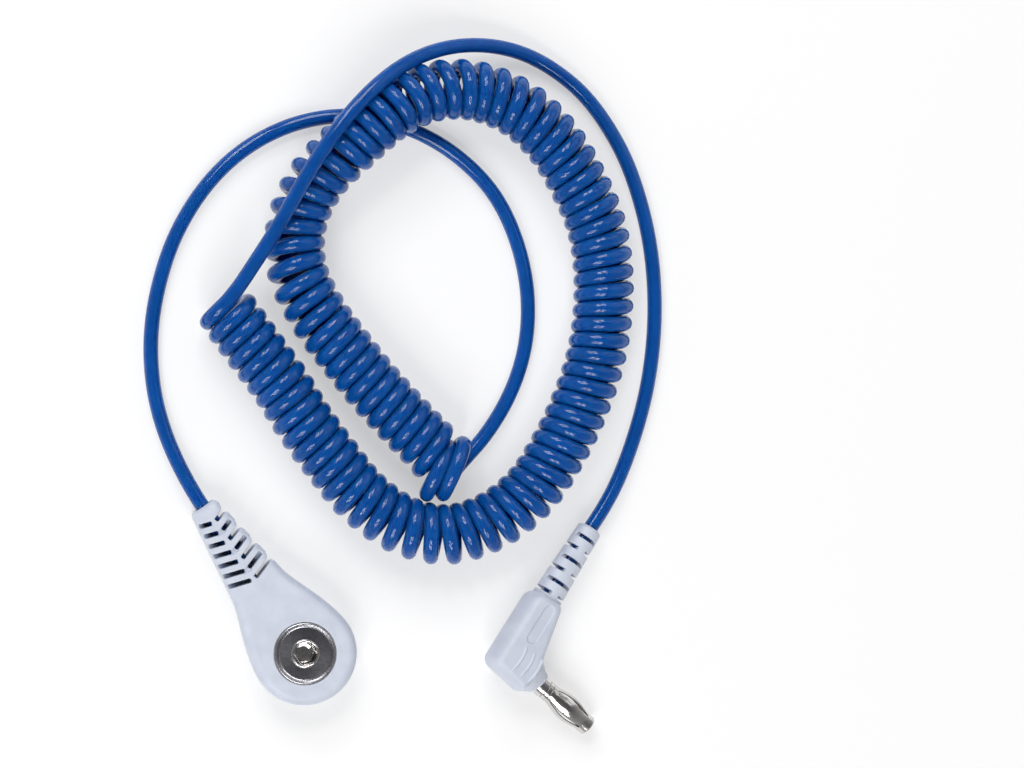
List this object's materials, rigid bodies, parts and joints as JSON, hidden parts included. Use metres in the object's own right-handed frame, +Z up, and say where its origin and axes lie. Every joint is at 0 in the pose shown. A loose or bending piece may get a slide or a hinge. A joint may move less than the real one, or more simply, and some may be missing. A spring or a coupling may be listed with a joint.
{
  "type": "coiled ground cord for an esd wrist strap",
  "caption": "Coiled blue ground cord with a snap socket moulded on one end and a right-angle banana plug on the other, lying in a loose loop.",
  "frame": {"origin": "on the resting surface, under the centre of the snap socket", "axes": "+Z up out of the snap socket; the cord lies in X and Y on the surface; the snap's cable leaves 34.5 degrees left of +Y"},
  "size_m": [0.1036, 0.1385, 0.0162],
  "materials": {
    "soft_shell": "satin moulded plastic, pale bluish white",
    "dull_nickel": "dull nickel plating",
    "bright_nickel": "bright nickel plating",
    "spring_steel": "drawn spring wire",
    "brass": "plain brass",
    "hard_insert": "hard natural plastic",
    "resistor_coat": "lacquered ceramic",
    "black_sleeve": "heat-shrunk tube",
    "copper": "bare copper strands",
    "blue_cable": "glossy polyurethane jacket, royal blue",
    "blue_coil": "glossy polyurethane jacket, darker blue in the coil"
  },
  "bodies": {
    "cord_assembly": {"snap_housing": "soft_shell", "socket_plate": "dull_nickel", "socket_eyelet": "bright_nickel", "socket_cup": "bright_nickel", "socket_carrier": "hard_insert", "terminal_tag": "brass", "resistor_body": "resistor_coat", "resistor_leads": "dull_nickel", "shrink_sleeve": "black_sleeve", "crimp_ferrule": "dull_nickel", "snap_conductor": "copper", "snap_cable_end": "blue_cable", "snap_tail": "blue_cable", "coil": "blue_coil", "plug_tail": "blue_cable", "plug_strain_relief": "soft_shell", "plug_housing": "soft_shell", "plug_insert": "hard_insert", "pin_core": "bright_nickel", "base_collar": "dull_nickel", "crimp_terminal": "brass", "plug_conductor": "copper", "plug_cable_end": "blue_cable"},
    "left_wire": {"spring_wire_left": "spring_steel"},
    "right_wire": {"spring_wire_right": "spring_steel"},
    "basket": {"contact_basket": "bright_nickel"}
  },
  "joints": [
    {"name": "right_wire_slide", "type": "slide", "parent": "cord_assembly", "child": "right_wire", "axis": [0.8241, 0.5664, 0], "range_m": [0, 0.0003], "stiffness_N_per_m": 600},
    {"name": "left_wire_slide", "type": "slide", "parent": "cord_assembly", "child": "left_wire", "axis": [-0.8241, -0.5664, 0], "range_m": [0, 0.0003]},
    {"name": "basket_spin", "type": "hinge", "parent": "cord_assembly", "child": "basket", "pos_m": [0.0472, -0.007, 0.0046], "axis": [0.7439, -0.6419, -0.1863], "continuous": true}
  ],
  "couplings": [
    {"joint": "left_wire_slide", "follows": "right_wire_slide", "ratio": 1}
  ]
}
